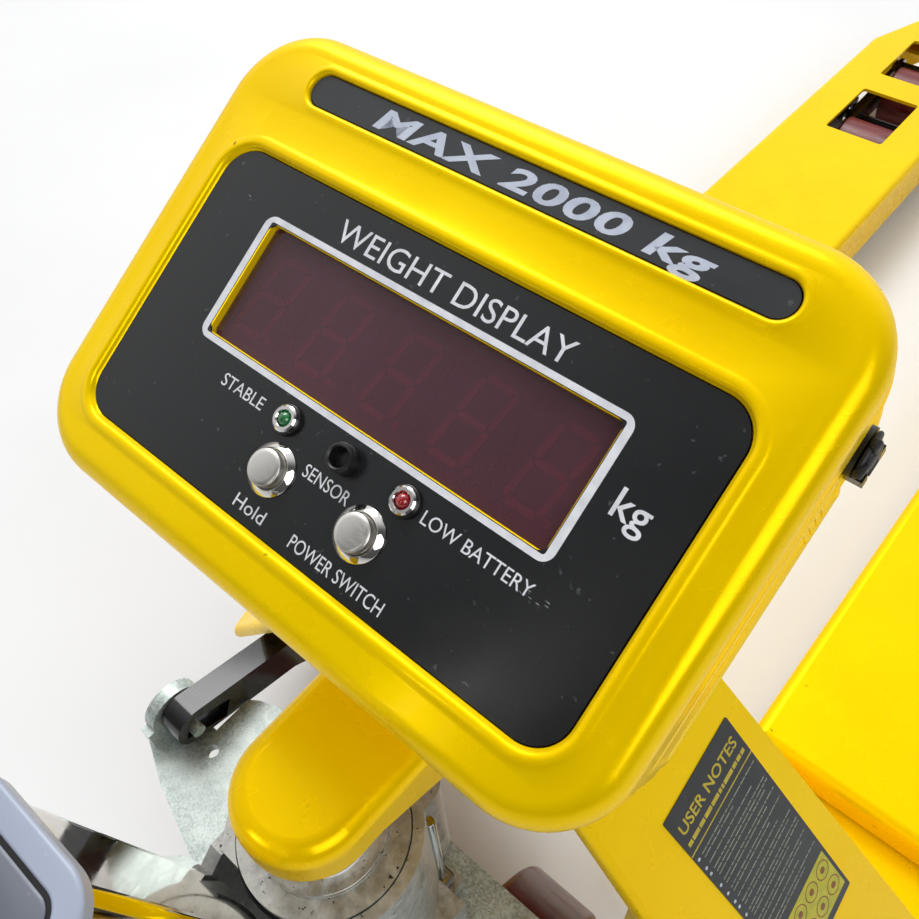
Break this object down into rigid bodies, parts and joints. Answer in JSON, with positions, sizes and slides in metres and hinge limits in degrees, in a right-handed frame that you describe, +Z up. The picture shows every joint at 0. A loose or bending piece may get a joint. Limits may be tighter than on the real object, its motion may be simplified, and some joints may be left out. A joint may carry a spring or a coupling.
{
  "type": "pallet scale",
  "caption": "Hand pallet truck with a built-in scale: lifting forks under weighing covers, steered pump and tiller, tilted indicator with red digits.",
  "frame": {"origin": "middle of the whole footprint, on the floor", "axes": "+Y towards the fork tips, +X to the right seen by the operator, +Z up"},
  "size_m": [0.541, 1.6098, 1.2163],
  "materials": {
    "yellow_paint": "gloss",
    "zinc_sheet": "satin",
    "cast_grey": "satin",
    "bright_chrome": "polished",
    "polished_steel": "polished",
    "satin_steel": "satin",
    "bolt_steel": "satin",
    "black_steel": "gloss",
    "cell_alloy": "satin",
    "grey_plastic": "matte",
    "black_plastic": "matte",
    "black_grip": "matte",
    "black_rubber": "matte",
    "red_tread": "satin",
    "panel_film": "satin",
    "label_film": "satin",
    "smoked_red": "gloss",
    "led_green": "gloss",
    "led_red": "gloss",
    "circuit_green": "gloss",
    "battery_black": "matte"
  },
  "bodies": {
    "chassis": {"lift_frame": "yellow_paint", "fork_beam_left": "yellow_paint", "fork_beam_right": "yellow_paint", "weigh_cover_left": "yellow_paint", "weigh_cover_right": "yellow_paint", "load_cells": "cell_alloy", "junction_box": "grey_plastic", "screws_and_bolts": "bolt_steel", "shoulder_label": "label_film", "ram": "polished_steel", "mounting_bracket": "yellow_paint", "front_cover": "yellow_paint", "rear_case": "yellow_paint", "cover_gasket": "black_rubber", "panel_overlay": "panel_film", "capacity_strip": "label_film", "window_filter": "smoked_red", "digit_modules": "black_plastic", "circuit_boards": "circuit_green", "battery_pack": "battery_black", "battery_door": "yellow_paint", "charge_socket": "black_plastic", "cable_gland": "black_plastic", "button_bodies": "bright_chrome", "led_bezels": "bright_chrome", "stable_led": "led_green", "battery_led": "led_red", "ir_receiver": "black_plastic"},
    "charge_cap": {"charge_cap": "black_rubber"},
    "hold_button": {"hold_button": "satin_steel"},
    "power_button": {"power_button": "satin_steel"},
    "thrust_plate": {"thrust_plate": "zinc_sheet"},
    "pump": {"pump_body": "cast_grey", "pump_cap": "cast_grey", "dust_ring": "black_rubber", "bearings": "bolt_steel", "wheel_axle": "polished_steel", "plunger_spring": "bolt_steel"},
    "plunger": {"plunger": "polished_steel"},
    "release_lever": {"release_lever": "black_steel"},
    "tiller": {"tiller_boot": "bright_chrome", "tiller_tube": "bright_chrome", "handle_loop": "black_grip", "tiller_pivot": "polished_steel"},
    "control_lever": {"control_lever": "black_plastic"},
    "rocker": {"rocker": "black_steel"},
    "wheel_left": {"wheel_hub_left": "cast_grey", "wheel_tyre_left": "red_tread"},
    "wheel_right": {"wheel_hub_right": "cast_grey", "wheel_tyre_right": "red_tread"},
    "load_roller_rear_left": {"load_roller_rear_left": "red_tread"},
    "load_roller_front_left": {"load_roller_front_left": "red_tread"},
    "push_rod_left": {"push_rod_left": "black_steel"},
    "roller_arm_left": {"roller_arm_left": "black_steel"},
    "roller_bogie_left": {"roller_bogie_left": "black_steel"},
    "load_roller_rear_right": {"load_roller_rear_right": "red_tread"},
    "load_roller_front_right": {"load_roller_front_right": "red_tread"},
    "push_rod_right": {"push_rod_right": "black_steel"},
    "roller_arm_right": {"roller_arm_right": "black_steel"},
    "roller_bogie_right": {"roller_bogie_right": "black_steel"}
  },
  "joints": [
    {"name": "lift", "type": "slide", "parent": "chassis", "child": "thrust_plate", "axis": [0, 0, -1], "range_m": [0, 0.115]},
    {"name": "steer", "type": "hinge", "parent": "thrust_plate", "child": "pump", "pos_m": [0, -0.5929, 0.2], "axis": [0, 0, 1], "range_deg": [-60, 60]},
    {"name": "tiller_fold", "type": "hinge", "parent": "pump", "child": "tiller", "pos_m": [0, -0.6549, 0.31], "axis": [1, 0, 0], "range_deg": [0, 75], "stiffness_Nm_per_rad": 22, "springref_deg": -28.65},
    {"name": "plunger", "type": "slide", "parent": "pump", "child": "plunger", "axis": [0, 0, -1], "range_m": [0, 0.0325], "stiffness_N_per_m": 400, "springref_m": -0.02, "deforming": ["plunger_spring"]},
    {"name": "control_lever", "type": "hinge", "parent": "tiller", "child": "control_lever", "pos_m": [0, -0.77667, 1.09461], "axis": [1, 0, 0], "range_deg": [-15, 15], "stiffness_Nm_per_rad": 1},
    {"name": "release_lever", "type": "hinge", "parent": "pump", "child": "release_lever", "pos_m": [0, -0.6269, 0.236], "axis": [1, 0, 0], "range_deg": [0, 10], "stiffness_Nm_per_rad": 2, "springref_deg": -5.73},
    {"name": "wheel_left", "type": "hinge", "parent": "pump", "child": "wheel_left", "pos_m": [-0.065, -0.5929, 0.1], "axis": [1, 0, 0], "continuous": true},
    {"name": "wheel_right", "type": "hinge", "parent": "pump", "child": "wheel_right", "pos_m": [0.065, -0.5929, 0.1], "axis": [1, 0, 0], "continuous": true},
    {"name": "rocker", "type": "hinge", "parent": "chassis", "child": "rocker", "pos_m": [0, -0.4179, 0.16], "axis": [1, 0, 0], "range_deg": [0, 38]},
    {"name": "push_rod_left", "type": "hinge", "parent": "rocker", "child": "push_rod_left", "pos_m": [-0.1855, -0.45399, 0.05398], "axis": [1, 0, 0], "range_deg": [-45, 0]},
    {"name": "roller_arm_left", "type": "hinge", "parent": "chassis", "child": "roller_arm_left", "pos_m": [-0.1855, 0.70442, 0.044], "axis": [1, 0, 0], "range_deg": [0, 58]},
    {"name": "roller_bogie_left", "type": "hinge", "parent": "roller_arm_left", "child": "roller_bogie_left", "pos_m": [-0.1855, 0.5646, 0.037], "axis": [1, 0, 0], "range_deg": [-58, 0]},
    {"name": "load_roller_rear_left", "type": "hinge", "parent": "roller_bogie_left", "child": "load_roller_rear_left", "pos_m": [-0.1855, 0.4881, 0.037], "axis": [1, 0, 0], "continuous": true},
    {"name": "load_roller_front_left", "type": "hinge", "parent": "roller_bogie_left", "child": "load_roller_front_left", "pos_m": [-0.1855, 0.6411, 0.037], "axis": [1, 0, 0], "continuous": true},
    {"name": "push_rod_right", "type": "hinge", "parent": "rocker", "child": "push_rod_right", "pos_m": [0.1855, -0.45399, 0.05398], "axis": [1, 0, 0], "range_deg": [-45, 0]},
    {"name": "roller_arm_right", "type": "hinge", "parent": "chassis", "child": "roller_arm_right", "pos_m": [0.1855, 0.70442, 0.044], "axis": [1, 0, 0], "range_deg": [0, 58]},
    {"name": "roller_bogie_right", "type": "hinge", "parent": "roller_arm_right", "child": "roller_bogie_right", "pos_m": [0.1855, 0.5646, 0.037], "axis": [1, 0, 0], "range_deg": [-58, 0]},
    {"name": "load_roller_rear_right", "type": "hinge", "parent": "roller_bogie_right", "child": "load_roller_rear_right", "pos_m": [0.1855, 0.4881, 0.037], "axis": [1, 0, 0], "continuous": true},
    {"name": "load_roller_front_right", "type": "hinge", "parent": "roller_bogie_right", "child": "load_roller_front_right", "pos_m": [0.1855, 0.6411, 0.037], "axis": [1, 0, 0], "continuous": true},
    {"name": "hold_button", "type": "slide", "parent": "chassis", "child": "hold_button", "axis": [0, 0.5299, -0.848], "range_m": [0, 0.0015], "stiffness_N_per_m": 800, "springref_m": -0.0005},
    {"name": "power_button", "type": "slide", "parent": "chassis", "child": "power_button", "axis": [0, 0.5299, -0.848], "range_m": [0, 0.0015], "stiffness_N_per_m": 800, "springref_m": -0.0005},
    {"name": "charge_cap", "type": "hinge", "parent": "chassis", "child": "charge_cap", "pos_m": [0.1061, -0.43986, 0.53244], "axis": [0, 0.848, 0.5299], "range_deg": [0, 120]}
  ],
  "couplings": [
    {"joint": "plunger", "follows": "tiller_fold", "m_per_rad": 0.0246},
    {"joint": "rocker", "follows": "lift", "rad_per_m": 5.7065},
    {"joint": "push_rod_left", "follows": "lift", "rad_per_m": -6.6831},
    {"joint": "roller_arm_left", "follows": "lift", "rad_per_m": 8.766},
    {"joint": "roller_bogie_left", "follows": "lift", "rad_per_m": -8.766},
    {"joint": "push_rod_right", "follows": "lift", "rad_per_m": -6.6831},
    {"joint": "roller_arm_right", "follows": "lift", "rad_per_m": 8.766},
    {"joint": "roller_bogie_right", "follows": "lift", "rad_per_m": -8.766}
  ]
}
